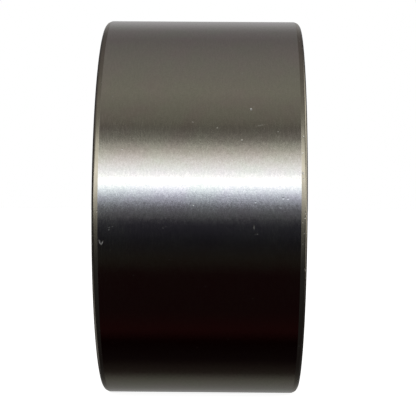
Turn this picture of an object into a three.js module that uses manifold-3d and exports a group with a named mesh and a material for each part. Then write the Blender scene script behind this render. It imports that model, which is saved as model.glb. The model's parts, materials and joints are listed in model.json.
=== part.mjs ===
// A caged needle roller bearing with machined rings, in millimetres, +Z up.
//
// The bearing's axis is X and its centre is the origin. The outer ring has a plain ground outside with no oil
// groove. Its raceway is open at both ends, so that it can be ground straight through. At each end a rib washer
// drops into a counterbore and a snap ring holds it there. The two washers keep the needle cage between them.
// The cage is one thin steel drum with a waisted, M-shaped wall and one slot for each needle. A slot is narrower than
// a needle everywhere except at the pitch circle, so the needles can't fall out either way. The inner ring slides in
// along the axis and its outside is the second raceway.
//
// Everything is drawn round the Y axis, which is the axis of a lathe geometry, and one group turns Y onto X.

import * as THREE from "three";
import { mergeVertices } from "three/addons/utils/BufferGeometryUtils.js";
import Module from "manifold-3d";

const wasm = await Module();
wasm.setup();

// ---- Driving dimensions (mm) ----

const BORE = 75; // inner ring's bore
const OUTSIDE = 105; // outer ring's outside diameter
const WIDTH = 54; // both rings
const INNER_RACE = 85; // diameter that the needles roll on
const NEEDLE = 5; // needle diameter
const NEEDLE_LENGTH = 36;
const NEEDLE_ROUNDING = 0.4; // at its ends
const NEEDLES = 36; // one row, 10 degrees apart

const RUNNING = 0.04; // radial play between a needle and each raceway
const SEAT_GAP = 0.1; // axial play of a rib washer or a snap ring in its seat

const RING_SIDES = 72; // facets round a ring, two for each needle
const NEEDLE_SIDES = 12;

// Outer ring
const OUTER_CHAMFER = { axial: 1.65, radial: 1.2 };
const LIP_CHAMFER = 0.4;
const COUNTERBORE = 97.2; // where a rib washer sits
const GROOVE = 100; // bottom of the snap ring's groove
const LIP = 2; // width of the lip outside the groove

// Inner ring
const BORE_CHAMFER = 1;
const LEAD_IN = { axial: 1.5, radial: 0.4 }; // eases the ring in under the needles

// Rib washers and snap rings
const WASHER = { thickness: 2, bore: 90.2, outside: 96.8, chamfer: 0.25 };
const SNAP = { thickness: 1.5, inside: 94.6, outside: 99.7, gapDegrees: 14, gapTurn: 25 };

// Cage
const CAGE = {
  outside: 94.2, // the two outer bands
  waist: 86.2, // inside of the waisted middle
  wall: 1,
  flangeInside: 89, // the end flanges reach in to this diameter
  waistHalf: 9.5, // half of the waist's width
  bandStart: 12.5, // where the slope from the waist meets the outer band
  endPlay: 0.3, // to each rib washer
};
const SLOT = {
  width: 4.7,
  endPlay: 0.2,
  relief: { width: 5.18, height: 1.76 }, // where the sloping wall crosses the pitch circle and a needle is widest
};

// ---- Worked out from them ----

const HALF = WIDTH / 2;
const PITCH_RADIUS = (INNER_RACE + NEEDLE) / 2;
const OUTER_RACE = INNER_RACE + 2 * NEEDLE;
const grooveOuter = HALF - LIP;
const grooveInner = grooveOuter - SNAP.thickness - 2 * SEAT_GAP;
const shoulder = grooveInner - WASHER.thickness - SEAT_GAP; // end of the raceway, and the washer's stop
const cageHalf = shoulder - CAGE.endPlay;

// A polygon whose flats, not its corners, touch the circle: for holes and for faces that surround something.
const around = (radius) => radius / Math.cos(Math.PI / RING_SIDES);

// ---- Making geometry ----

// A solid of revolution round Y from a closed outline of [radius, height] points, run anticlockwise.
function ringGeometry(outline) {
  const points = outline.map(([radius, height]) => new THREE.Vector2(radius, height));
  points.push(points[0].clone());
  return new THREE.LatheGeometry(points, RING_SIDES);
}

// An outline's lower half, followed by the same points mirrored in reverse order.
const mirrored = (half) => [...half, ...half.map(([radius, height]) => [radius, -height]).reverse()];

function solidOf(geometry) {
  const plain = geometry.clone();
  plain.deleteAttribute("normal");
  plain.deleteAttribute("uv");
  const merged = mergeVertices(plain, 1e-4);
  return new wasm.Manifold(
    new wasm.Mesh({
      numProp: 3,
      vertProperties: merged.attributes.position.array,
      triVerts: new Uint32Array(merged.index.array),
    }),
  );
}

function geometryOf(solid) {
  const mesh = solid.getMesh();
  const geometry = new THREE.BufferGeometry();
  geometry.setAttribute("position", new THREE.BufferAttribute(mesh.vertProperties, 3));
  geometry.setIndex(new THREE.BufferAttribute(mesh.triVerts, 1));
  geometry.computeVertexNormals();
  return geometry;
}

function outerRingGeometry() {
  const outside = OUTSIDE / 2;
  const race = around(OUTER_RACE / 2 + RUNNING);
  const counterbore = around(COUNTERBORE / 2);
  const groove = around(GROOVE / 2);
  return ringGeometry(
    mirrored([
      [race, -shoulder],
      [counterbore, -shoulder],
      [counterbore, -grooveInner],
      [groove, -grooveInner],
      [groove, -grooveOuter],
      [counterbore, -grooveOuter],
      [counterbore, -HALF + LIP_CHAMFER],
      [counterbore + LIP_CHAMFER, -HALF],
      [outside - OUTER_CHAMFER.radial, -HALF],
      [outside, -HALF + OUTER_CHAMFER.axial],
    ]),
  );
}

function innerRingGeometry() {
  const race = INNER_RACE / 2 - RUNNING;
  const bore = around(BORE / 2);
  return ringGeometry(
    mirrored([
      [bore, -HALF + BORE_CHAMFER],
      [bore + BORE_CHAMFER, -HALF],
      [race - LEAD_IN.radial, -HALF],
      [race, -HALF + LEAD_IN.axial],
    ]),
  );
}

// A flat washer, centred on the origin.
function ribWasherGeometry() {
  const half = WASHER.thickness / 2;
  const outside = WASHER.outside / 2;
  return ringGeometry(
    mirrored([
      [around(WASHER.bore / 2), -half],
      [outside - WASHER.chamfer, -half],
      [outside, -half + WASHER.chamfer],
    ]),
  );
}

// A flat ring with an open gap at its top, centred on the origin.
function snapRingGeometry() {
  const halfGap = THREE.MathUtils.degToRad(SNAP.gapDegrees / 2);
  const start = Math.PI / 2 + halfGap;
  const end = start + 2 * (Math.PI - halfGap);
  const outline = new THREE.Shape();
  outline.absarc(0, 0, SNAP.outside / 2, start, end, false);
  outline.absarc(0, 0, SNAP.inside / 2, end, start, true);
  outline.closePath();
  const geometry = new THREE.ExtrudeGeometry(outline, {
    depth: SNAP.thickness,
    bevelEnabled: false,
    curveSegments: RING_SIDES / 3,
  });
  geometry.translate(0, 0, -SNAP.thickness / 2);
  geometry.rotateX(Math.PI / 2); // its axis goes from Z to Y, and its gap from Y to Z
  return geometry;
}

// One slot for a needle: a straight cut that is narrower than the needle, and its relief at the pitch circle.
function slotSolid() {
  const length = NEEDLE_LENGTH + 2 * SLOT.endPlay;
  const depth = NEEDLE + 4 * CAGE.wall;
  const cut = solidOf(new THREE.BoxGeometry(depth, length, SLOT.width));
  const relief = solidOf(new THREE.BoxGeometry(SLOT.relief.height, length, SLOT.relief.width));
  return cut.add(relief).translate([PITCH_RADIUS, 0, 0]);
}

function cageGeometry() {
  const band = CAGE.outside / 2;
  const waist = around(CAGE.waist / 2);
  const flange = around(CAGE.flangeInside / 2);
  const drum = solidOf(
    ringGeometry(
      mirrored([
        [waist, -CAGE.waistHalf],
        [band - CAGE.wall, -CAGE.bandStart],
        [band - CAGE.wall, -cageHalf + CAGE.wall],
        [flange, -cageHalf + CAGE.wall],
        [flange, -cageHalf],
        [band, -cageHalf],
        [band, -CAGE.bandStart],
        [waist + CAGE.wall, -CAGE.waistHalf],
      ]),
    ),
  );
  const slot = slotSolid();
  let cage = drum;
  for (let k = 0; k < NEEDLES; k++) {
    cage = cage.subtract(slot.rotate([0, (k * 360) / NEEDLES, 0]));
  }
  return geometryOf(cage);
}

function needleGeometry() {
  const radius = NEEDLE / 2;
  const half = NEEDLE_LENGTH / 2;
  const outline = [
    [0, -half],
    [radius - NEEDLE_ROUNDING, -half],
    [radius, -half + NEEDLE_ROUNDING],
    [radius, half - NEEDLE_ROUNDING],
    [radius - NEEDLE_ROUNDING, half],
    [0, half],
  ];
  const points = outline.map(([across, along]) => new THREE.Vector2(across, along));
  return new THREE.LatheGeometry(points, NEEDLE_SIDES);
}

// ---- Materials ----

const steel = (color, roughness) => new THREE.MeshStandardMaterial({ color, roughness, metalness: 1 });
const groundSteel = steel(0xa7a4a0, 0.28);
const lappedSteel = steel(0xc4c3c2, 0.15);
const pressedSteel = steel(0x8f8a80, 0.45);
const springSteel = steel(0x3b3a3b, 0.5);

// ---- The bearing ----

const bearing = new THREE.Group();
bearing.rotation.z = -Math.PI / 2; // the lathes' Y axis becomes X

function addMesh(name, geometry, material) {
  const mesh = new THREE.Mesh(geometry, material);
  mesh.name = name;
  bearing.add(mesh);
  return mesh;
}

addMesh("outer_ring", outerRingGeometry(), groundSteel);
addMesh("inner_ring", innerRingGeometry(), groundSteel);
addMesh("needle_cage", cageGeometry(), pressedSteel);

const snapCentre = (grooveInner + grooveOuter) / 2;
const washerCentre = (shoulder + snapCentre - SNAP.thickness / 2) / 2;
const ENDS = { left: -1, right: 1 }; // which way along the axis
for (const [side, sign] of Object.entries(ENDS)) {
  const ribWasher = addMesh(`rib_washer_${side}`, ribWasherGeometry(), groundSteel);
  ribWasher.position.y = sign * washerCentre;
  const snapRing = addMesh(`snap_ring_${side}`, snapRingGeometry(), springSteel);
  snapRing.position.y = sign * snapCentre;
  snapRing.rotation.y = sign * THREE.MathUtils.degToRad(SNAP.gapTurn);
}

for (let k = 0; k < NEEDLES; k++) {
  const angle = (k * 2 * Math.PI) / NEEDLES;
  const number = String(k + 1).padStart(2, "0");
  const needle = addMesh(`needle_${number}`, needleGeometry(), lappedSteel);
  needle.position.set(PITCH_RADIUS * Math.sin(angle), 0, PITCH_RADIUS * Math.cos(angle));
  needle.rotation.y = angle;
}

// The group that turns the axis is itself inside the group that is handed over, so that the frame stays +Z up.
const part = new THREE.Group();
part.add(bearing);

export default part;
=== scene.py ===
"""A caged needle roller bearing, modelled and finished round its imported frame.

The bearing's axis is X, its centre is the origin and +Z is up. Sizes are in millimetres until they meet
Blender, which works in metres. The rings, washers and snap rings are turned: a section is drawn above the
axis, its corners are rounded and it is spun round X. The cage is one pitch of pressed sheet repeated round
the axis, and the needles are copies of one needle. Every piece rides on the body of its CAD node.
"""

from __future__ import annotations

import json
import logging
import math
from collections.abc import Callable, Iterable, Sequence
from dataclasses import dataclass, field
from enum import Enum

import bmesh
import bpy
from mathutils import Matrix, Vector

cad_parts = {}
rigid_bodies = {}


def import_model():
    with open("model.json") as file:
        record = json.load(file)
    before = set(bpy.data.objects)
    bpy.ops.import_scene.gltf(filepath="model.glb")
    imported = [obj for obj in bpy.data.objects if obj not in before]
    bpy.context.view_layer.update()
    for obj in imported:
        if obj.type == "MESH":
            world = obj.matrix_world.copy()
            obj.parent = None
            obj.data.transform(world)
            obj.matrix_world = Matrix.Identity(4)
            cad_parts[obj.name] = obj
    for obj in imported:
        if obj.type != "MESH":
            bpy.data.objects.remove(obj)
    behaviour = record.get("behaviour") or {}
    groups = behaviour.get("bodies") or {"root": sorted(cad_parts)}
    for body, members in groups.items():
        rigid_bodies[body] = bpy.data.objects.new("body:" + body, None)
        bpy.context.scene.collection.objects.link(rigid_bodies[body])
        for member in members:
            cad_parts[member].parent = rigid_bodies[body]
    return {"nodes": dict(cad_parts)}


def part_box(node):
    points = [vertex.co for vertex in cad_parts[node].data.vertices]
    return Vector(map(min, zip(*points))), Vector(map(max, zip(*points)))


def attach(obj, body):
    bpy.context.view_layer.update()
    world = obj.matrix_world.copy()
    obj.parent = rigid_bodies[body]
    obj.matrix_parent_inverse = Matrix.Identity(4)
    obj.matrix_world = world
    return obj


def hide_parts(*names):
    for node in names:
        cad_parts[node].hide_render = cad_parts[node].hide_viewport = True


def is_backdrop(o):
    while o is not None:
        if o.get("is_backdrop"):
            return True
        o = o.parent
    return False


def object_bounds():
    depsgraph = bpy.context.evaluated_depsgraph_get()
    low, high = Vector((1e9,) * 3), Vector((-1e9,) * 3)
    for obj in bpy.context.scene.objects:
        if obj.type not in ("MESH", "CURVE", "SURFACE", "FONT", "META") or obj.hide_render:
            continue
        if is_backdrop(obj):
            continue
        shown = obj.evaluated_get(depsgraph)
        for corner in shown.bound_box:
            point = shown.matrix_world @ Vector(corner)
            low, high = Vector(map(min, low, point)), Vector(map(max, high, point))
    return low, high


log = logging.getLogger("bearing")

MM = 0.001
FULL_TURN = 2 * math.pi
AXIS = (1.0, 0.0, 0.0)
ORIGIN = (0.0, 0.0, 0.0)
WELD = 0.0005 * MM  # vertices closer than this are one
SAME_ANGLE = 1e-4  # radians: edges closer than this round the axis are one
NOISE_LOW = 0.3  # the range that a noise mostly keeps to
NOISE_HIGH = 0.7
WHITE = (1.0, 1.0, 1.0, 1.0)

Colour = tuple[float, float, float]
Piece = bpy.types.Object
Material = bpy.types.Material
Group = bpy.types.ShaderNodeTree
Socket = bpy.types.NodeSocket
Sockets = bpy.types.NodeOutputs
Test = Callable[[float, float], bool]  # of a place along the axis and a radius, both in millimetres


# ---------------------------------------------------------------- the bench


@dataclass(frozen=True)
class Corner:
    """A corner of a section: its place along the axis, its radius, and where its rounding starts."""

    along: float
    radius: float
    rounding: float = 0.0


def mirrored(half: Sequence[Corner]) -> list[Corner]:
    """Completes an outline with the same corners mirrored in the bearing's middle plane.

    Args:
        half: The corners at the positive end, in order round the section.

    Returns:
        The whole outline, still in order round the section.
    """
    return [*half, *(Corner(-c.along, c.radius, c.rounding) for c in reversed(half))]


def oblong(low: Vector, high: Vector, inside: float, outside: float, rounding: float) -> list[Corner]:
    """Draws the plain four-cornered section of a flat ring.

    Args:
        low: The lowest corner of the ring's CAD node, in metres.
        high: Its highest corner, in metres.
        inside: The ring's inner radius.
        outside: Its outer radius.
        rounding: The rounding of each corner.

    Returns:
        The outline.
    """
    near, far = low.x / MM, high.x / MM
    places = ((near, inside), (far, inside), (far, outside), (near, outside))
    return [Corner(along, radius, rounding) for along, radius in places]


def start_piece(name: str) -> Piece:
    """Names the active object, applies its place and opens it in edit mode.

    Args:
        name: The piece's name.

    Returns:
        The piece.
    """
    piece = bpy.context.object
    piece.name = piece.data.name = name
    bpy.ops.object.transform_apply(location=True, rotation=True, scale=True)
    bpy.ops.object.mode_set(mode="EDIT")
    bpy.ops.mesh.select_mode(type="VERT")
    return piece


def select(piece: Piece, test: Callable[[Vector], bool], faces: bool = False) -> None:
    """Selects just the vertices or the faces that pass a test, with what lies between them.

    Args:
        piece: The piece in edit mode.
        test: A test of a vertex's place, or of a face's middle, in metres.
        faces: Whether faces are meant.
    """
    bpy.ops.mesh.select_mode(type="FACE" if faces else "VERT")
    bpy.ops.mesh.select_all(action="DESELECT")
    mesh = bmesh.from_edit_mesh(piece.data)
    for item in mesh.faces if faces else mesh.verts:
        item.select = test(item.calc_center_median() if faces else item.co)
    mesh.select_flush_mode()
    bmesh.update_edit_mesh(piece.data)


def draw_line(name: str, corners: Sequence[Corner], closed: bool, segments: int = 5) -> Piece:
    """Draws a section above the axis, in the plane of X and Z, and rounds its corners.

    Args:
        name: The piece's name.
        corners: The section's corners, in order.
        closed: Whether the last corner joins the first.
        segments: The number of steps in each rounding.

    Returns:
        The piece in edit mode, with all of its line selected.
    """
    first = corners[0]
    bpy.ops.object.select_all(action="DESELECT")
    bpy.ops.mesh.primitive_plane_add(size=MM, location=(first.along * MM, 0, first.radius * MM))
    piece = start_piece(name)
    bpy.ops.mesh.select_all(action="SELECT")
    bpy.ops.mesh.merge(type="CENTER")
    ends = [*corners, first] if closed else list(corners)
    for here, there in zip(ends, ends[1:]):
        step = ((there.along - here.along) * MM, 0, (there.radius - here.radius) * MM)
        bpy.ops.mesh.extrude_region_move(TRANSFORM_OT_translate={"value": step})
    bpy.ops.mesh.select_all(action="SELECT")
    bpy.ops.mesh.remove_doubles(threshold=WELD)
    for rounding in sorted({c.rounding for c in corners if c.rounding}):
        places = [Vector((c.along * MM, 0, c.radius * MM)) for c in corners if c.rounding == rounding]
        select(piece, lambda co: any((co - place).length < WELD for place in places))
        bpy.ops.mesh.bevel(affect="VERTICES", offset=rounding * MM, segments=segments, profile=0.5)
    bpy.ops.mesh.select_all(action="SELECT")
    return piece


def bearing_of(place: Vector) -> float:
    """Measures how far round the axis a place is, from +Z by the right-hand rule about X, in radians."""
    return math.atan2(-place.y, place.z)


def spin(steps: int, angle: float, copies: bool = False) -> None:
    """Spins the selection about the axis, and leaves what it ends in selected.

    Args:
        steps: The number of steps.
        angle: The whole angle by the right-hand rule about X, in radians.
        copies: Whether the selection is repeated instead of drawn out.
    """
    bpy.ops.mesh.spin(steps=steps, angle=-angle, dupli=copies, center=ORIGIN, axis=AXIS)


def turn_selected(angle: float) -> None:
    """Turns the selected vertices about the axis.

    Args:
        angle: The angle by the right-hand rule about X, in radians.
    """
    bpy.ops.transform.rotate(value=-angle, orient_axis="X", orient_type="GLOBAL", center_override=ORIGIN)


def close_up(piece: Piece) -> None:
    """Merges the doubles of a mesh in edit mode, turns its faces outwards and goes back to object mode."""
    bpy.ops.mesh.select_all(action="SELECT")
    bpy.ops.mesh.remove_doubles(threshold=WELD)
    bpy.ops.mesh.normals_make_consistent(inside=False)
    bpy.ops.object.mode_set(mode="OBJECT")


def apply_modifier(piece: Piece, kind: str, **settings: object) -> None:
    """Adds a modifier to the active piece, sets it and applies it.

    Args:
        piece: The active piece, in object mode.
        kind: The modifier's type.
        **settings: Its properties.
    """
    modifier = piece.modifiers.new(kind.title(), kind)
    for name, value in settings.items():
        setattr(modifier, name, value)
    bpy.ops.object.modifier_apply(modifier=modifier.name)


def break_edges(piece: Piece, width: float, degrees: float) -> None:
    """Rounds a piece's sharp edges.

    Args:
        piece: The active piece, in object mode.
        width: The width of the rounding in millimetres.
        degrees: The angle past which an edge is sharp.
    """
    limit = math.radians(degrees)
    apply_modifier(piece, "BEVEL", width=width * MM, segments=2, limit_method="ANGLE", angle_limit=limit)


SMOOTH_UP_TO = math.radians(35)


def smooth(piece: Piece) -> None:
    """Shades the active piece smooth, with its broad faces true and the bend left to its roundings."""
    bpy.ops.object.shade_smooth_by_angle(angle=SMOOTH_UP_TO)
    apply_modifier(piece, "WEIGHTED_NORMAL", mode="FACE_AREA", weight=100, keep_sharp=True)


def turn(name: str, outline: Sequence[Corner], steps: int) -> Piece:
    """Turns a whole ring.

    Args:
        name: The piece's name.
        outline: The corners of its section.
        steps: The number of steps round the axis.

    Returns:
        The ring in object mode.
    """
    piece = draw_line(name, outline, closed=True)
    spin(steps, FULL_TURN)
    close_up(piece)
    smooth(piece)
    return piece


def paint(piece: Piece, shop: FinishShop, finishes: Iterable[tuple[Finish, Test]]) -> None:
    """Gives a piece its finishes. Where two apply, the later one holds.

    Args:
        piece: The active piece, in object mode.
        shop: What makes the finishes.
        finishes: Each finish with its test of where it applies.
    """
    bpy.ops.object.mode_set(mode="EDIT")
    for index, (finish, applies) in enumerate(finishes):
        piece.data.materials.append(shop.get(finish))
        select(piece, lambda co: applies(co.x / MM, math.hypot(co.y, co.z) / MM), faces=True)
        piece.active_material_index = index
        bpy.ops.object.material_slot_assign()
    bpy.ops.object.mode_set(mode="OBJECT")


def everywhere(_along: float, _radius: float) -> bool:
    """Passes every place."""
    return True


def seat(piece: Piece, body: str, node: str) -> None:
    """Puts a finished piece on its body, in place of its CAD node.

    Args:
        piece: The piece.
        body: The body that carries it.
        node: The CAD node that it stands for.
    """
    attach(piece, body)
    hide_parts(node)
    log.info("%s rides on %s: %d faces", piece.name, body, len(piece.data.polygons))


# ---------------------------------------------------------------- finishes


@dataclass
class Wiring:
    """Adds nodes to a node tree and joins them up."""

    tree: bpy.types.NodeTree

    def add(self, kind: str, feeds: dict[str, object] | None = None, **settings: object) -> bpy.types.Node:
        """Adds a node.

        Args:
            kind: The node's type.
            feeds: For each input, by name, the socket or the value that feeds it.
            **settings: The node's properties.

        Returns:
            The node.
        """
        node = self.tree.nodes.new(kind)
        for name, value in settings.items():
            setattr(node, name, value)
        for name, value in (feeds or {}).items():
            self.feed(node.inputs[name], value)
        return node

    def feed(self, target: Socket, value: object) -> None:
        """Joins a socket to an input, or sets the input's own value."""
        if isinstance(value, Socket):
            self.tree.links.new(value, target)
        else:
            target.default_value = value

    def math(self, operation: str, *values: object, clamp: bool = False) -> Socket:
        """Adds a Math node.

        Args:
            operation: Its operation.
            *values: What feeds its inputs, in order.
            clamp: Whether the result is kept from 0 to 1.

        Returns:
            Its output.
        """
        node = self.add("ShaderNodeMath", operation=operation, use_clamp=clamp)
        for target, value in zip(node.inputs, values):
            self.feed(target, value)
        return node.outputs["Value"]

    def span(self, value: Socket, low: float, high: float, start: float = 0.0, end: float = 1.0) -> Socket:
        """Maps the range from low to high smoothly onto the range from start to end.

        Args:
            value: What is mapped.
            low: The value that gives start.
            high: The value that gives end.
            start: The result at and below low.
            end: The result at and above high.

        Returns:
            The mapped value.
        """
        feeds = {"Value": value, "From Min": low, "From Max": high, "To Min": start, "To Max": end}
        return self.add("ShaderNodeMapRange", feeds, interpolation_type="SMOOTHSTEP").outputs["Result"]

    def object_place(self) -> Socket:
        """Gives the place on the piece, in metres."""
        return self.add("ShaderNodeTexCoord").outputs["Object"]

    def split(self, vector: Socket) -> Sockets:
        """Splits a vector in three: X, Y and Z."""
        return self.add("ShaderNodeSeparateXYZ", {"Vector": vector}).outputs

    def noise(self, vector: Socket, seed: Socket, scale: object, detail: float, **more: float) -> Socket:
        """Adds a noise around 0.5.

        Args:
            vector: Where it is read.
            seed: What makes it differ from others.
            scale: How close its lumps are.
            detail: How many finer layers it has.
            **more: Its other inputs, by name.

        Returns:
            Its value.
        """
        feeds = {"Vector": vector, "W": seed, "Scale": scale, "Detail": detail, **more}
        return self.add("ShaderNodeTexNoise", feeds, noise_dimensions="4D").outputs["Fac"]

    def mix(self, factor: object, first: object, second: object) -> Socket:
        """Mixes two colours.

        Args:
            factor: The share of the second one.
            first: A colour or a socket.
            second: A colour or a socket.

        Returns:
            The mixed colour.
        """
        node = self.add("ShaderNodeMix", data_type="RGBA")
        colours = [s for s in node.inputs if s.type == "RGBA"]
        self.feed(node.inputs["Factor"], factor)
        self.feed(colours[0], opaque(first) if isinstance(first, tuple) else first)
        self.feed(colours[1], opaque(second) if isinstance(second, tuple) else second)
        return next(s for s in node.outputs if s.type == "RGBA")


def opaque(colour: Colour) -> tuple[float, float, float, float]:
    """Adds an alpha of 1 to a colour."""
    return (*colour, 1.0)


def new_group(
    name: str, inputs: dict[str, float], outputs: Sequence[str]
) -> tuple[Wiring, Sockets]:
    """Starts a shader node group with plain number sockets.

    Args:
        name: The group's name.
        inputs: The name and default value of each input.
        outputs: The name of each output.

    Returns:
        The group's wiring, and the sockets that its inputs come in by.
    """
    group = bpy.data.node_groups.new(name, "ShaderNodeTree")
    for socket_name, value in inputs.items():
        socket = group.interface.new_socket(socket_name, in_out="INPUT", socket_type="NodeSocketFloat")
        socket.default_value = value
    for socket_name in outputs:
        group.interface.new_socket(socket_name, in_out="OUTPUT", socket_type="NodeSocketFloat")
    w = Wiring(group)
    return w, w.add("NodeGroupInput").outputs


RADIUS_SHARE = 0.6  # keeps the radius and the place along the axis from cancelling on a chamfer


def place_on_turned_face(w: Wiring) -> tuple[Socket, Socket, Socket]:
    """Works out where a point lies on a turned face, whose tool marks run round the axis.

    Args:
        w: The wiring of the group that asks.

    Returns:
        How far across the tool marks it is in millimetres, its angle round the axis from +Z in radians, and
        its radius in millimetres.
    """
    at = w.split(w.object_place())
    squares = w.math("ADD", w.math("POWER", at["Y"], 2.0), w.math("POWER", at["Z"], 2.0))
    radius = w.math("SQRT", squares)
    across = w.math("MULTIPLY_ADD", radius, RADIUS_SHARE, at["X"])
    angle = w.math("ARCTAN2", w.math("MULTIPLY", at["Y"], -1.0), at["Z"])
    return w.math("DIVIDE", across, MM), angle, w.math("DIVIDE", radius, MM)


def lay_group() -> Group:
    """Makes the lay that a lathe or a grinder leaves: fine lines round the axis, broken into streaks.

    Returns:
        A group with the lines' width and the streaks' length, in millimetres, and a seed. It gives a value
        around 0.5.
    """
    w, given = new_group("turned_lay", {"Width": 0.3, "Length": 4.0, "Seed": 0.0}, ["Value"])
    at = w.split(w.object_place())
    across, _, _ = place_on_turned_face(w)
    length = w.math("MULTIPLY", given["Length"], MM)
    feeds = {
        "X": w.math("DIVIDE", across, given["Width"]),
        "Y": w.math("DIVIDE", at["Y"], length),
        "Z": w.math("DIVIDE", at["Z"], length),
    }
    where = w.add("ShaderNodeCombineXYZ", feeds)
    lines = w.noise(where.outputs["Vector"], given["Seed"], 1.0, 3.0, Roughness=0.6)
    w.add("NodeGroupOutput", {"Value": lines})
    return w.tree


RIPPLE_STRETCH = (0.04, 1.0, 1.0)  # draws the ripples out along the axis


def chatter_group() -> Group:
    """Makes what a tool's shaking leaves: soft ripples that lie along the axis, over a fine even grain.

    Returns:
        A group with the ripples' spacing and the grain's size, in millimetres, and a seed. It gives a height
        from 0 to 1 for each of them.
    """
    w, given = new_group("chatter", {"Spacing": 0.8, "Grain": 0.4, "Seed": 0.0}, ["Ripple", "Grain"])
    place = w.object_place()
    stretched = w.add("ShaderNodeVectorMath", {0: place, 1: RIPPLE_STRETCH}, operation="MULTIPLY")
    ripple_scale = w.math("DIVIDE", 1 / MM, given["Spacing"])
    ripple = w.noise(stretched.outputs["Vector"], given["Seed"], ripple_scale, 1.0)
    grain = w.noise(place, given["Seed"], w.math("DIVIDE", 1 / MM, given["Grain"]), 2.0)
    w.add("NodeGroupOutput", {"Ripple": ripple, "Grain": grain})
    return w.tree


SMALLEST_NICK = 0.4  # of the given size and, below, how much larger than that the largest is
NICK_VARIETY = 0.8


def nick_group() -> Group:
    """Makes sparse small nicks, drawn out a little round the axis.

    Returns:
        A group with the nicks' spacing and size in millimetres, the share of places that have one, how drawn
        out they are, and a seed. Its mask is 1 in the middle of a nick.
    """
    inputs = {"Spacing": 3.0, "Size": 0.3, "Share": 0.3, "Stretch": 1.5, "Seed": 0.0}
    w, given = new_group("nicks", inputs, ["Mask"])
    across, angle, radius = place_on_turned_face(w)
    arc = w.math("MULTIPLY", angle, radius)
    drawn_out = w.math("MULTIPLY", given["Spacing"], given["Stretch"])
    feeds = {
        "X": w.math("ADD", w.math("DIVIDE", across, given["Spacing"]), given["Seed"]),
        "Y": w.math("ADD", w.math("DIVIDE", arc, drawn_out), given["Seed"]),
    }
    where = w.add("ShaderNodeCombineXYZ", feeds)
    feeds = {"Vector": where.outputs["Vector"], "Scale": 1.0, "Randomness": 1.0}
    cells = w.add("ShaderNodeTexVoronoi", feeds, voronoi_dimensions="2D")
    chance = w.add("ShaderNodeSeparateColor", {"Color": cells.outputs["Color"]}).outputs
    present = w.math("LESS_THAN", chance["Red"], given["Share"])
    reach = w.math("DIVIDE", given["Size"], given["Spacing"])
    size = w.math("MULTIPLY_ADD", chance["Green"], NICK_VARIETY, SMALLEST_NICK)
    reach = w.math("MULTIPLY", reach, size)
    depth = w.math("SUBTRACT", 1.0, w.math("DIVIDE", cells.outputs["Distance"], reach), clamp=True)
    w.add("NodeGroupOutput", {"Mask": w.math("MULTIPLY", depth, present)})
    return w.tree


def scratch_group() -> Group:
    """Makes one scratch on a turned outside.

    Returns:
        A group with the scratch's middle, as a place along the axis in millimetres and an angle round it from
        +Z in degrees, its length and width in millimetres, and its slant from the tool marks in degrees. Its
        mask is 1 in the middle of the scratch.
    """
    inputs = {"Along": 0.0, "Around": 0.0, "Length": 2.0, "Width": 0.3, "Slant": 0.0}
    w, given = new_group("scratch", inputs, ["Mask"])
    at = w.split(w.object_place())
    _, angle, radius = place_on_turned_face(w)
    beside = w.math("SUBTRACT", w.math("DIVIDE", at["X"], MM), given["Along"])
    past = w.math("SUBTRACT", angle, w.math("RADIANS", given["Around"]))
    past = w.math("MULTIPLY", past, radius)
    slant = w.math("RADIANS", given["Slant"])
    cosine, sine = w.math("COSINE", slant), w.math("SINE", slant)
    lengthways = w.math("ADD", w.math("MULTIPLY", past, cosine), w.math("MULTIPLY", beside, sine))
    sideways = w.math("SUBTRACT", w.math("MULTIPLY", beside, cosine), w.math("MULTIPLY", past, sine))
    long_way = w.math("DIVIDE", w.math("MULTIPLY", lengthways, 2.0), given["Length"])
    short_way = w.math("DIVIDE", w.math("MULTIPLY", sideways, 2.0), given["Width"])
    squares = w.math("ADD", w.math("POWER", long_way, 2.0), w.math("POWER", short_way, 2.0))
    w.add("NodeGroupOutput", {"Mask": w.math("SUBTRACT", 1.0, squares, clamp=True)})
    return w.tree


def smear_group() -> Group:
    """Makes the slow unevenness of an oil film and of handling.

    Returns:
        A group with the smears' size in millimetres and a seed. It gives a value from 0 to 1.
    """
    w, given = new_group("smears", {"Size": 10.0, "Seed": 0.0}, ["Value"])
    scale = w.math("DIVIDE", 1 / MM, given["Size"])
    smears = w.noise(w.object_place(), given["Seed"], scale, 4.0, Distortion=0.4)
    w.add("NodeGroupOutput", {"Value": w.span(smears, NOISE_LOW, NOISE_HIGH)})
    return w.tree


class Effect(Enum):
    """The shared surface effects, each named as its node group is, in the order that they are built in."""

    LAY = "turned_lay"
    CHATTER = "chatter"
    NICKS = "nicks"
    SCRATCH = "scratch"
    SMEARS = "smears"


def build_effects() -> dict[Effect, Group]:
    """Builds every effect's node group."""
    makers = (lay_group, chatter_group, nick_group, scratch_group, smear_group)
    return {effect: make() for effect, make in zip(Effect, makers)}


@dataclass
class EffectKit:
    """The shared effects' node groups, each built once."""

    groups: dict[Effect, Group] = field(default_factory=build_effects)

    def place(self, wiring: Wiring, effect: Effect, **values: float) -> bpy.types.Node:
        """Places an effect in a material.

        Args:
            wiring: The material's wiring.
            effect: Which effect.
            **values: Its inputs, by name.

        Returns:
            The group's node.
        """
        return wiring.add("ShaderNodeGroup", values, node_tree=self.groups[effect])


@dataclass(frozen=True)
class Lay:
    """The lines that a tool left: their width, length and depth, and how far they roughen and shade."""

    width: float
    length: float
    depth: float
    roughening: float = 0.03
    shading: float = 0.06


@dataclass(frozen=True)
class Scratch:
    """A scratch, bruise or chip on a turned surface, as the scratch group takes it, and how bright it is."""

    along: float
    around: float
    length: float
    width: float
    slant: float = 0.0
    strength: float = 1.0


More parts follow.
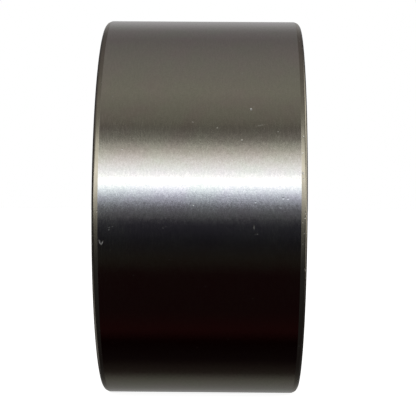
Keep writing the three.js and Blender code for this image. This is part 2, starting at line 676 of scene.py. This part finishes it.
@dataclass(frozen=True)
class SteelFinish:
    """A steel surface: its colours, its gloss, the lay of its tool marks and its wear."""

    name: str
    colour: Colour
    tint: Colour
    roughness: float
    lay: Lay
    across_lay: float = 0.0
    ripple: float = 0.0  # height of the chatter's ripples and, below, of its grain, in millimetres
    grain: float = 0.0006
    graining: float = 0.04  # how far the grain shades the colour
    smear_size: float = 12.0
    nick_share: float = 0.03
    nick_size: float = 0.22
    nick_strength: float = 0.4
    nick_colour: Colour = (0.85, 0.87, 0.92)
    smear_roughening: float = 0.03
    mark_roughening: float = 0.3
    mark_depth: float = 0.05
    scratches: tuple[Scratch, ...] = ()
    seed: float = 0.0

    def marks(self, w: Wiring, kit: EffectKit) -> Socket:
        """Gathers the nicks and the scratches.

        Args:
            w: The material's wiring.
            kit: The shared effects.

        Returns:
            A mask that is 1 in the middle of each mark.
        """
        nicks = kit.place(w, Effect.NICKS, Size=self.nick_size, Share=self.nick_share, Seed=self.seed)
        mask = w.math("MULTIPLY", nicks.outputs["Mask"], self.nick_strength)
        for mark in self.scratches:
            values = {"Along": mark.along, "Around": mark.around, "Length": mark.length}
            scratch = kit.place(w, Effect.SCRATCH, Width=mark.width, Slant=mark.slant, **values)
            mask = w.math("MAXIMUM", mask, w.math("MULTIPLY", scratch.outputs["Mask"], mark.strength))
        return mask

    def material(self, kit: EffectKit) -> Material:
        """Makes the finish's material.

        Args:
            kit: The shared effects.

        Returns:
            The material.
        """
        material = bpy.data.materials.new(self.name)
        material.use_nodes = True
        material.node_tree.nodes.clear()
        w = Wiring(material.node_tree)
        lines = {"Width": self.lay.width, "Length": self.lay.length, "Seed": self.seed}
        lay = kit.place(w, Effect.LAY, **lines).outputs["Value"]
        chatter = kit.place(w, Effect.CHATTER, Seed=self.seed).outputs
        smears = kit.place(w, Effect.SMEARS, Size=self.smear_size, Seed=self.seed).outputs["Value"]
        marks = self.marks(w, kit)

        colour = w.mix(smears, self.colour, self.tint)
        shade = w.span(lay, NOISE_LOW, NOISE_HIGH, 1 - self.lay.shading, 1.0)
        speckle = w.span(chatter["Grain"], NOISE_LOW, NOISE_HIGH, 1 - self.graining, 1.0)
        shade = w.math("MULTIPLY", shade, speckle)
        shaded = w.add("ShaderNodeVectorMath", {"Vector": colour, "Scale": shade}, operation="SCALE")
        colour = w.mix(marks, shaded.outputs["Vector"], self.nick_colour)

        smoothest = self.roughness - self.lay.roughening
        roughness = w.span(lay, NOISE_LOW, NOISE_HIGH, smoothest, self.roughness + self.lay.roughening)
        roughness = w.math("MULTIPLY_ADD", smears, self.smear_roughening, roughness)
        roughness = w.math("MULTIPLY_ADD", marks, self.mark_roughening, roughness)
        relief = w.math("MULTIPLY", lay, self.lay.depth * MM)
        relief = w.math("MULTIPLY_ADD", chatter["Ripple"], self.ripple * MM, relief)
        relief = w.math("MULTIPLY_ADD", chatter["Grain"], self.grain * MM, relief)
        relief = w.math("MULTIPLY_ADD", marks, -self.mark_depth * MM, relief)
        bump = w.add("ShaderNodeBump", {"Height": relief, "Distance": 1.0})

        tangent = w.add("ShaderNodeTangent", direction_type="RADIAL", axis="X")
        shader = w.add(
            "ShaderNodeBsdfPrincipled",
            {
                "Base Color": colour,
                "Metallic": 1.0,
                "Roughness": roughness,
                "Normal": bump.outputs["Normal"],
                "Anisotropic": self.across_lay,
                "Anisotropic Rotation": 0.25,
                "Tangent": tangent.outputs["Tangent"],
            },
        )
        w.add("ShaderNodeOutputMaterial", {"Surface": shader.outputs["BSDF"]})
        return material


# The marks that handling left on the outside, all of them small.
OUTSIDE_SCRATCHES = (
    Scratch(12.8, 61.9, 0.8, 0.6),
    Scratch(13.5, 61.0, 0.5, 0.4, strength=0.25),
    Scratch(15.3, 66.9, 2.8, 0.35, slant=-75.0, strength=0.2),
    Scratch(4.3, 67.8, 0.5, 0.4, strength=0.3),
    Scratch(-1.9, 66.1, 0.5, 0.4, strength=0.3),
    Scratch(13.6, 95.3, 1.4, 0.3, strength=0.42),
    Scratch(14.5, 97.2, 0.4, 0.4, strength=0.4),
    Scratch(13.9, 97.3, 0.4, 0.3, strength=0.25),
    Scratch(14.0, 88.6, 0.5, 0.5, strength=0.18),
    Scratch(20.8, 87.5, 0.5, 0.7, strength=0.18),
    Scratch(22.0, 87.6, 0.6, 0.5, strength=0.18),
    Scratch(20.2, 90.0, 0.3, 0.9, strength=0.15),
    Scratch(-9.0, 95.6, 0.9, 0.4, slant=20.0, strength=0.22),
    Scratch(-8.3, 95.3, 0.5, 0.3, strength=0.2),
    Scratch(-22.4, 95.6, 0.4, 0.7, strength=0.18),
    Scratch(-21.6, 95.4, 0.4, 0.5, strength=0.18),
    Scratch(-0.6, 133.8, 0.7, 0.5, strength=0.4),
    Scratch(-24.7, 99.7, 1.7, 0.4, slant=20.0),
    Scratch(-24.2, 99.9, 1.4, 0.35, slant=-25.0, strength=0.8),
)

# The chips that knocks left in the right chamfer.
CHAMFER_CHIPS = (
    Scratch(25.9, 70.1, 0.5, 0.45, strength=0.7),
    Scratch(25.6, 75.0, 0.8, 0.4, slant=-40.0, strength=0.45),
    Scratch(25.7, 80.6, 0.9, 0.4, slant=30.0, strength=0.7),
    Scratch(25.8, 82.2, 0.5, 0.4, strength=0.5),
    Scratch(26.3, 92.8, 0.5, 0.3, strength=0.5),
    Scratch(26.1, 97.0, 0.4, 0.3, strength=0.3),
)


class Finish(Enum):
    """Every finish on the bearing."""

    GROUND_OUTSIDE = SteelFinish(
        "ground_outside",
        (0.63, 0.59, 0.575),
        (0.61, 0.61, 0.56),
        0.12,
        Lay(0.42, 1.9, 0.029, roughening=0.015, shading=0.06),
        across_lay=0.5,
        ripple=0.0025,
        grain=0.004,
        graining=0.07,
        smear_size=7.0,
        scratches=OUTSIDE_SCRATCHES,
    )
    TURNED_CHAMFER = SteelFinish(
        "turned_chamfer",
        (0.58, 0.54, 0.46),
        (0.5, 0.465, 0.39),
        0.2,
        Lay(0.18, 9.0, 0.006),
        grain=0.003,
        smear_size=4.0,
        nick_share=0.35,
        scratches=CHAMFER_CHIPS,
        seed=1.0,
    )
    # A near-black colour given to the outer rim of each chamfer, next to the end.
    DARK_RIM = SteelFinish(
        "dark_rim",
        (0.1, 0.088, 0.073),
        (0.07, 0.06, 0.052),
        0.42,
        Lay(0.2, 6.0, 0.006),
        nick_share=0.3,
        seed=1.5,
    )
    GROUND_FACE = SteelFinish(
        "ground_face",
        (0.62, 0.61, 0.59),
        (0.56, 0.55, 0.52),
        0.4,
        Lay(0.22, 7.0, 0.005),
        across_lay=0.4,
        seed=2.0,
    )
    HONED_RACE = SteelFinish(
        "honed_race",
        (0.66, 0.65, 0.63),
        (0.6, 0.59, 0.57),
        0.16,
        Lay(0.15, 3.0, 0.002),
        across_lay=0.3,
        seed=3.0,
    )
    TURNED_GROOVE = SteelFinish(
        "turned_groove", (0.46, 0.44, 0.41), (0.38, 0.36, 0.32), 0.4, Lay(0.25, 12.0, 0.012), seed=4.0
    )
    LAPPED_NEEDLE = SteelFinish(
        "lapped_needle",
        (0.74, 0.74, 0.74),
        (0.7, 0.7, 0.69),
        0.14,
        Lay(0.2, 2.0, 0.001),
        nick_share=0.0,
        seed=5.0,
    )
    PRESSED_CAGE = SteelFinish(
        "pressed_cage", (0.56, 0.52, 0.46), (0.46, 0.42, 0.36), 0.36, Lay(0.8, 3.0, 0.008), seed=6.0
    )
    PHOSPHATED_SPRING = SteelFinish(
        "phosphated_spring",
        (0.075, 0.072, 0.07),
        (0.05, 0.05, 0.052),
        0.5,
        Lay(0.12, 0.4, 0.01),
        nick_colour=(0.3, 0.29, 0.28),
        seed=7.0,
    )


@dataclass
class FinishShop:
    """Makes each finish's material once, when it is first asked for."""

    kit: EffectKit = field(default_factory=EffectKit)
    made: dict[Finish, Material] = field(default_factory=dict)

    def get(self, finish: Finish) -> Material:
        """Gives a finish's material."""
        if finish not in self.made:
            self.made[finish] = finish.value.material(self.kit)
        return self.made[finish]


# ---------------------------------------------------------------- the rings


def reach(node: str) -> tuple[float, float]:
    """Measures how far a CAD node reaches along the axis and out from it, in millimetres."""
    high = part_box(node)[1]
    return high.x / MM, high.z / MM


@dataclass
class OuterRing:
    """The outer ring: plain outside, open raceway, and at each end a counterbore with a groove."""

    shop: FinishShop
    node: str = "outer_ring"
    steps: int = 288
    chamfer_along: float = 1.65
    chamfer_in: float = 1.2
    chamfer_rounding: float = 0.5
    swell_along: float = 0.65  # how far from the end and, below, how far in the chamfer bends outwards
    swell_in: float = 0.42
    swell_rounding: float = 0.25
    dark_rim_along: float = 0.33  # how far from the end the chamfer is given a near-black colour
    race_radius: float = 47.54
    shoulder: float = 21.2  # end of the raceway
    counterbore_radius: float = 48.6
    groove_radius: float = 50.0
    groove_inner: float = 23.3
    groove_outer: float = 25.0
    lip_chamfer: float = 0.4
    lip_rounding: float = 0.12
    rim_rounding: float = 0.03  # where the ground outside meets the chamfer
    # How far from the end, the groove's floor and the raceway a face may be and still have their finish.
    face_margin: float = 0.001
    groove_margin: float = 0.05
    race_margin: float = 0.1

    def outline(self) -> list[Corner]:
        """Gives the corners of the section, from the raceway's end round to the outside, and mirrors."""
        half, radius = reach(self.node)
        bore, lip = self.counterbore_radius, self.lip_chamfer
        return mirrored(
            [
                Corner(self.shoulder, self.race_radius, 0.2),
                Corner(self.shoulder, bore, 0.1),
                Corner(self.groove_inner, bore, 0.12),
                Corner(self.groove_inner, self.groove_radius, 0.15),
                Corner(self.groove_outer, self.groove_radius, 0.15),
                Corner(self.groove_outer, bore, 0.12),
                Corner(half - lip, bore, self.lip_rounding),
                Corner(half, bore + lip, self.lip_rounding),
                Corner(half, radius - self.chamfer_in, self.chamfer_rounding),
                Corner(half - self.swell_along, radius - self.swell_in, self.swell_rounding),
                Corner(half - self.chamfer_along, radius, self.rim_rounding),
            ]
        )

    def build(self) -> None:
        """Turns the ring, gives each of its surfaces its finish and seats it."""
        half, radius = reach(self.node)
        ring = turn("outer_ring_turned", self.outline(), self.steps)
        chamfer_end = half - self.chamfer_along
        chamfer_foot = radius - self.chamfer_in - self.chamfer_rounding
        dark_rim_end = half - self.dark_rim_along
        face = half - self.face_margin
        groove = self.groove_radius + self.groove_margin
        race = self.race_radius + self.race_margin
        paint(
            ring,
            self.shop,
            [
                (Finish.GROUND_OUTSIDE, everywhere),
                (Finish.TURNED_CHAMFER, lambda x, r: abs(x) > chamfer_end and r > chamfer_foot),
                # the outer rim of each chamfer, next to the end, takes the near-black colour
                (Finish.DARK_RIM, lambda x, r: abs(x) > dark_rim_end and r > chamfer_foot),
                (Finish.GROUND_FACE, lambda x, r: abs(x) > face),
                (Finish.TURNED_GROOVE, lambda x, r: r < groove),
                (Finish.HONED_RACE, lambda x, r: abs(x) < self.shoulder and r < race),
            ],
        )
        seat(ring, "outer_ring", self.node)


@dataclass
class InnerRing:
    """The inner ring: its outside is a raceway and its bore is the seat on the shaft."""

    shop: FinishShop
    node: str = "inner_ring"
    steps: int = 240
    bore_radius: float = 37.5
    bore_chamfer: float = 1.0
    lead_along: float = 1.5
    lead_in: float = 0.4
    # How far from the end's face and the bore a face may be and still have their finish.
    face_margin: float = 0.02
    bore_margin: float = 0.01

    def build(self) -> None:
        """Turns the ring, gives it its finishes and seats it."""
        half, race = reach(self.node)
        outline = mirrored(
            [
                Corner(half - self.bore_chamfer, self.bore_radius, 0.3),
                Corner(half, self.bore_radius + self.bore_chamfer, 0.3),
                Corner(half, race - self.lead_in, 0.25),
                Corner(half - self.lead_along, race, 0.4),
            ]
        )
        ring = turn("inner_ring_turned", outline, self.steps)
        chamfer_end = half - self.bore_chamfer
        chamfer_top = self.bore_radius + self.bore_chamfer
        face = half - self.face_margin
        bore = self.bore_radius + self.bore_margin
        paint(
            ring,
            self.shop,
            [
                (Finish.HONED_RACE, everywhere),
                (Finish.GROUND_FACE, lambda x, r: abs(x) > face),
                (Finish.TURNED_CHAMFER, lambda x, r: chamfer_end < abs(x) < face and r < chamfer_top),
                (Finish.GROUND_FACE, lambda x, r: r < bore),
            ],
        )
        seat(ring, "inner_ring", self.node)


class End(Enum):
    """An end of the bearing, named as its nodes are."""

    LEFT = "left"
    RIGHT = "right"


@dataclass
class EndStop:
    """A rib washer and the snap ring that holds it in one end of the outer ring."""

    shop: FinishShop
    end: End
    washer_bore: float = 45.1
    washer_edge: float = 0.25
    snap_inside: float = 47.3
    snap_edge: float = 0.2
    snap_end_rounding: float = 0.12
    steps: int = 216

    def build(self) -> None:
        """Makes both pieces."""
        self.build_washer()
        self.build_snap_ring()

    def build_washer(self) -> None:
        """Turns the rib washer, with broken edges, and seats it."""
        node = f"rib_washer_{self.end.value}"
        low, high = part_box(node)
        outline = oblong(low, high, self.washer_bore, high.z / MM, self.washer_edge)
        washer = turn(f"{node}_ground", outline, self.steps)
        paint(washer, self.shop, [(Finish.GROUND_FACE, everywhere)])
        seat(washer, "outer_ring", node)

    def build_snap_ring(self) -> None:
        """Winds the snap ring from one side of its gap to the other and seats it."""
        node = f"snap_ring_{self.end.value}"
        start, sweep = widest_stretch(node)
        outside = max(math.hypot(v.co.y, v.co.z) for v in bpy.data.objects[node].data.vertices) / MM
        outline = oblong(*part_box(node), self.snap_inside, outside, self.snap_edge)
        ring = draw_line(f"{node}_wound", outline, closed=True)
        bpy.ops.mesh.edge_face_add()
        turn_selected(start)
        spin(self.steps, sweep)
        close_up(ring)
        break_edges(ring, self.snap_end_rounding, 60.0)
        smooth(ring)
        paint(ring, self.shop, [(Finish.PHOSPHATED_SPRING, everywhere)])
        seat(ring, "outer_ring", node)


def widest_stretch(node: str) -> tuple[float, float]:
    """Finds the stretch that an open ring covers.

    Args:
        node: The ring's CAD node.

    Returns:
        The angle round X from +Z where it starts, just past its gap, and the angle that it sweeps.
    """
    angles = sorted(bearing_of(v.co) % FULL_TURN for v in bpy.data.objects[node].data.vertices)
    gaps = [(after - before, after) for before, after in zip(angles, angles[1:])]
    gaps.append((angles[0] + FULL_TURN - angles[-1], angles[0]))
    gap, start = max(gaps)
    return start, FULL_TURN - gap


# ---------------------------------------------------------------- the cage and the needles


@dataclass
class Cage:
    """The needle cage: a pressed drum with a waisted wall, turned-in ends and a slot for each needle."""

    shop: FinishShop
    needles: int
    node: str = "needle_cage"
    wall: float = 1.0
    flange_inside: float = 44.5
    waist_inside: float = 43.1
    waist_half: float = 9.5
    band_start: float = 12.5
    slot_half_length: float = 18.2
    slot_half_angle: float = 3.1  # degrees
    corner_angle: float = 0.8  # degrees and, below, millimetres: where the slot's corner rounding starts
    corner_along: float = 0.7
    band_angle: float = 0.2  # degrees less on the outer bands, which keeps the slot's sides parallel
    relief_angle: float = 0.2  # degrees more on the slope, where a needle is widest
    slot_margin: float = 0.1  # degrees and millimetres: how far inside the slot a face to cut is
    edge_rounding: float = 0.1

    def wall_line(self) -> list[Corner]:
        """Gives the middle line of the wall, from one flange's inner edge to the other's."""
        end, band = (size - self.wall / 2 for size in reach(self.node))
        waist = self.waist_inside + self.wall / 2
        slope = ((self.band_start + self.waist_half) / 2, (band + waist) / 2)
        return mirrored(
            [
                Corner(end, self.flange_inside),
                Corner(end, band, 0.9),
                Corner(self.slot_half_length, band),
                Corner(self.slot_half_length - self.corner_along, band),
                Corner(self.band_start, band, 0.5),
                Corner(*slope),
                Corner(self.waist_half, waist, 0.5),
            ]
        )

    def build(self) -> None:
        """Presses one pitch of the drum, repeats it round the axis, gives it its wall and seats it."""
        pitch = 360 / self.needles
        cage = draw_line("needle_cage_pressed", self.wall_line(), closed=False, segments=3)
        turn_selected(math.radians(-pitch / 2))
        slot, corner = self.slot_half_angle, self.corner_angle
        bar = pitch / 2 - slot
        for degrees, steps in ((bar, 2), (corner, 1), (2 * (slot - corner), 3), (corner, 1), (bar, 2)):
            spin(steps, math.radians(degrees))
        self.cut_slot(cage)
        bpy.ops.mesh.select_all(action="SELECT")
        spin(self.needles - 1, math.radians(360 - pitch), copies=True)
        close_up(cage)
        apply_modifier(cage, "SUBSURF", levels=1, render_levels=1)
        apply_modifier(cage, "SOLIDIFY", thickness=self.wall * MM, offset=0.0)
        break_edges(cage, self.edge_rounding, 50.0)
        smooth(cage)
        paint(cage, self.shop, [(Finish.PRESSED_CAGE, everywhere)])
        seat(cage, "needle_cage", self.node)

    def cut_slot(self, cage: Piece) -> None:
        """Cuts the slot out of the pitch in edit mode, and widens it where the wall slopes past the needles.

        Args:
            cage: The one pitch, centred on +Z.
        """
        slot = math.radians(self.slot_half_angle)
        inside = slot - math.radians(self.slot_margin)
        end = (self.slot_half_length - self.slot_margin) * MM
        select(cage, lambda co: abs(co.x) < end and abs(bearing_of(co)) < inside, faces=True)
        bpy.ops.mesh.delete(type="FACE")
        low, high = self.waist_half * MM, self.band_start * MM
        corner_start = (self.slot_half_length - self.corner_along / 2) * MM
        for side in (-1, 1):
            edge = side * slot
            for start, end, angle in ((low, high, self.relief_angle), (high, corner_start, -self.band_angle)):
                select(cage, lambda co: start <= abs(co.x) < end and abs(bearing_of(co) - edge) < SAME_ANGLE)
                turn_selected(side * math.radians(angle))


@dataclass
class NeedleRow:
    """The row of needles: one is shaped, and the others are its copies, each turned round to its slot."""

    shop: FinishShop
    nodes: list[str]
    sides: int = 56
    rounding: float = 0.4
    crown: float = 0.03  # how far the middle of an end stands out
    flat_share: float = 0.6  # of the radius: how much of an end stands out
    inset_share: float = 0.28  # of the radius: the width of each of the two rings of faces on an end

    def shape_needle(self) -> Piece:
        """Shapes the first needle, at the top of the row.

        Returns:
            The needle in object mode.
        """
        low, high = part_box(self.nodes[0])
        radius, half = (high.z - low.z) / 2, high.x
        bpy.ops.object.select_all(action="DESELECT")
        bpy.ops.mesh.primitive_cylinder_add(
            vertices=self.sides,
            radius=radius,
            depth=2 * half,
            location=(low + high) / 2,
            rotation=(0, math.pi / 2, 0),
        )
        needle = start_piece(f"{self.nodes[0]}_lapped")
        select(needle, lambda co: abs(co.x) > half - WELD, faces=True)
        bpy.ops.mesh.select_mode(type="EDGE")
        bpy.ops.mesh.bevel(affect="EDGES", offset=self.rounding * MM, segments=5, profile=0.5)
        for _ in range(2):
            select(needle, lambda co: abs(co.x) > half - WELD and self.from_centre(co) < WELD, faces=True)
            bpy.ops.mesh.inset(thickness=radius * self.inset_share)
        rim = radius * self.flat_share
        select(needle, lambda co: abs(co.x) > half - WELD and self.from_centre(co) > rim)
        bpy.ops.transform.resize(value=(1 - self.crown * MM / half, 1, 1), center_override=ORIGIN)
        close_up(needle)
        smooth(needle)
        paint(needle, self.shop, [(Finish.LAPPED_NEEDLE, everywhere)])
        return needle

    def from_centre(self, place: Vector) -> float:
        """Measures how far a place is from the first needle's own axis, in metres."""
        low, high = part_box(self.nodes[0])
        return math.hypot(place.y, place.z - (low.z + high.z) / 2)

    def build(self) -> None:
        """Shapes one needle, copies it round the axis and seats them all."""
        first = self.shape_needle()
        needles = [first]
        for index, node in enumerate(self.nodes[1:], start=1):
            bpy.ops.object.select_all(action="DESELECT")
            first.select_set(True)
            bpy.context.view_layer.objects.active = first
            bpy.ops.object.duplicate(linked=False)
            copy = bpy.context.object
            copy.name = copy.data.name = f"{node}_lapped"
            copy.rotation_euler.x = index * FULL_TURN / len(self.nodes)
            bpy.ops.object.transform_apply(location=False, rotation=True, scale=False)
            needles.append(copy)
        for needle, node in zip(needles, self.nodes):
            seat(needle, node, node)


# ---------------------------------------------------------------- the studio


@dataclass(frozen=True)
class Band:
    """A band of light: how far above straight ahead it is, in degrees round the axis, and its light."""

    degrees: float
    light: Colour


@dataclass(frozen=True)
class Panel:
    """A soft round panel: the way to it, its half angles inside and out in degrees, and its light."""

    towards: Colour
    inner: float
    outer: float
    light: Colour


@dataclass
class Studio:
    """A pale table in a white room, with a softbox in front, just above the camera, and dark below it."""

    brightness: float = 2.5  # what a band of 1 gives
    facing: tuple[Band, ...] = (
        Band(-180, (0.16, 0.16, 0.16)),
        Band(-150, (0.066, 0.065, 0.061)),
        Band(-132, (0.037, 0.036, 0.03)),
        Band(-121, (0.008, 0.006, 0.005)),
        Band(-106, (0.002, 0.001, 0.001)),
        Band(-88, (0.001, 0.0, 0.0)),
        Band(-79, (0.005, 0.001, 0.001)),
        Band(-65, (0.003, 0.001, 0.001)),
        Band(-40, (0.003, 0.001, 0.001)),
        Band(-31, (0.005, 0.004, 0.003)),
        Band(-20, (0.004, 0.004, 0.005)),
        Band(-9, (0.0095, 0.0095, 0.013)),
        Band(-6, (0.032, 0.033, 0.036)),
        Band(0, (0.066, 0.068, 0.08)),
        Band(6, (0.26, 0.28, 0.34)),
        Band(11, (0.6, 0.66, 0.74)),
        Band(15, (0.95, 0.95, 0.95)),
        Band(19, (0.59, 0.61, 0.65)),
        Band(25, (0.47, 0.475, 0.465)),
        Band(32, (0.27, 0.26, 0.232)),
        Band(40, (0.086, 0.082, 0.07)),
        Band(46, (0.052, 0.048, 0.041)),
        Band(48, (0.045, 0.041, 0.034)),
        Band(50.5, (0.06, 0.056, 0.045)),
        Band(56, (0.073, 0.068, 0.056)),
        Band(72, (0.096, 0.091, 0.076)),
        Band(95, (0.085, 0.08, 0.072)),
        Band(122, (0.066, 0.061, 0.06)),
        Band(136, (0.08, 0.077, 0.076)),
        Band(152, (0.148, 0.145, 0.148)),
        Band(180, (0.2, 0.2, 0.2)),
    )
    # From the side, the softbox is one broad hump of light over a dark floor.
    beside: tuple[Band, ...] = (
        Band(-180, (0.02, 0.02, 0.02)),
        Band(-120, (0.005, 0.004, 0.004)),
        Band(-40, (0.01, 0.01, 0.01)),
        Band(-10, (0.05, 0.05, 0.045)),
        Band(30, (0.6, 0.6, 0.57)),
        Band(60, (0.1, 0.1, 0.09)),
        Band(120, (0.05, 0.045, 0.045)),
        Band(180, (0.02, 0.02, 0.02)),
    )
    panels: tuple[Panel, ...] = (
        Panel((0.89, 0.43, 0.17), 10, 28, (0.4, 0.39, 0.36)),
        Panel((-0.72, 0.6, -0.36), 6, 20, (0.1, 0.1, 0.097)),
    )
    side_start: float = 0.12  # how far sideways a way points where the bands beside start to show
    side_end: float = 0.4  # and where they are all that shows
    table_size: float = 40.0  # metres
    table_shade: float = 0.9
    table_glow: float = 0.92
    camera_aside: float = 0.105  # times the ring's radius, as is the next
    camera_back: float = 7.58
    camera_turn: tuple[float, float, float] = (89.96, -0.41, 0.56)  # degrees
    lens: float = 120.5  # millimetres, as is the next
    sensor: float = 36.0

    def ramp(self, w: Wiring, turn_share: Socket, bands: Sequence[Band]) -> Socket:
        """Lays bands of light out round the axis.

        Args:
            w: The world's wiring.
            turn_share: The angle, from 0 at -180 degrees to 1 at 180.
            bands: The bands, from the lowest angle up.

        Returns:
            The light's colour.
        """
        node = w.add("ShaderNodeValToRGB", {"Fac": turn_share})
        stops = node.color_ramp.elements
        for stop, band in zip(list(stops), (bands[0], bands[-1])):
            stop.position = (band.degrees + 180) / 360
            stop.color = opaque(band.light)
        for band in bands[1:-1]:
            stops.new((band.degrees + 180) / 360).color = opaque(band.light)
        return node.outputs["Color"]

    def panel_mask(self, w: Wiring, way: Sockets, panel: Panel) -> Socket:
        """Shapes a panel.

        Args:
            w: The world's wiring.
            way: The way that the light comes from, split in three.
            panel: The panel.

        Returns:
            A mask that is 1 inside the panel and fades out round it.
        """
        to_panel = Vector(panel.towards).normalized()
        cosine = w.math("MULTIPLY", way["X"], to_panel.x)
        cosine = w.math("MULTIPLY_ADD", way["Y"], to_panel.y, cosine)
        cosine = w.math("MULTIPLY_ADD", way["Z"], to_panel.z, cosine)
        return w.span(cosine, math.cos(math.radians(panel.outer)), math.cos(math.radians(panel.inner)))

    def light_room(self) -> None:
        """Makes the world: white to the camera, and bands of light to everything else."""
        world = bpy.data.worlds.new("studio")
        bpy.context.scene.world = world
        world.use_nodes = True
        world.node_tree.nodes.clear()
        w = Wiring(world.node_tree)
        way = w.split(w.add("ShaderNodeTexCoord").outputs["Generated"])
        angle = w.math("ARCTAN2", way["Z"], w.math("MULTIPLY", way["Y"], -1.0))
        share = w.math("MULTIPLY_ADD", angle, 1 / FULL_TURN, 0.5)
        sideways = w.span(w.math("ABSOLUTE", way["X"]), self.side_start, self.side_end)
        light = w.mix(sideways, self.ramp(w, share, self.facing), self.ramp(w, share, self.beside))
        for panel in self.panels:
            light = w.mix(self.panel_mask(w, way, panel), light, panel.light)
        room = w.add("ShaderNodeBackground", {"Color": light, "Strength": self.brightness})
        white = w.add("ShaderNodeBackground", {"Color": WHITE, "Strength": 1.0})
        seen = w.add("ShaderNodeLightPath").outputs["Is Camera Ray"]
        both = w.add("ShaderNodeMixShader", {"Fac": seen})
        w.feed(both.inputs[1], room.outputs["Background"])
        w.feed(both.inputs[2], white.outputs["Background"])
        w.add("ShaderNodeOutputWorld", {"Surface": both.outputs["Shader"]})

    def lay_table(self, level: float) -> None:
        """Lays the pale table that the bearing stands on, too soft to mirror in the steel.

        Args:
            level: The table's height in metres.
        """
        bpy.ops.object.select_all(action="DESELECT")
        bpy.ops.mesh.primitive_plane_add(size=self.table_size, location=(0, 0, level))
        table = bpy.context.object
        table.name = "table"
        material = bpy.data.materials.new("pale_table")
        material.use_nodes = True
        shader = material.node_tree.nodes["Principled BSDF"]
        w = Wiring(material.node_tree)
        w.feed(shader.inputs["Base Color"], opaque((self.table_shade,) * 3))
        w.feed(shader.inputs["Roughness"], 0.9)
        w.feed(shader.inputs["Emission Color"], WHITE)
        w.feed(shader.inputs["Emission Strength"], self.table_glow)
        table.data.materials.append(material)
        table.visible_glossy = False
        table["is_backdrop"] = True

    def place_camera(self, radius: float) -> None:
        """Puts the camera in front of the bearing, level with its axis.

        Args:
            radius: The outer ring's radius, in metres, which sets the distance.
        """
        data = bpy.data.cameras.new("camera")
        camera = bpy.data.objects.new("camera", data)
        bpy.context.scene.collection.objects.link(camera)
        camera.location = (self.camera_aside * radius, -self.camera_back * radius, 0)
        camera.rotation_euler = tuple(math.radians(degrees) for degrees in self.camera_turn)
        data.sensor_width = self.sensor
        data.lens = self.lens
        data.clip_start = 0.01
        bpy.context.scene.camera = camera

    def build(self, low: Vector, high: Vector) -> None:
        """Makes the light, the table and the camera.

        Args:
            low: The bearing's lowest corner.
            high: Its highest corner.
        """
        self.light_room()
        self.lay_table(low.z)
        self.place_camera(high.z)
        bpy.context.scene.view_settings.view_transform = "Standard"


# ---------------------------------------------------------------- the scene


def main() -> None:
    """Loads the frame, makes each sub-assembly round it and sets up the studio."""
    logging.basicConfig(level=logging.INFO, format="%(name)s: %(message)s")
    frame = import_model()
    cad_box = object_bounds()
    needles = sorted(node for node in frame["nodes"] if node.startswith("needle_") and node[-1].isdigit())

    shop = FinishShop()
    OuterRing(shop).build()
    InnerRing(shop).build()
    for end in End:
        EndStop(shop, end).build()
    Cage(shop, len(needles)).build()
    NeedleRow(shop, needles).build()
    Studio().build(*cad_box)


if __name__ == "__main__":
    main()
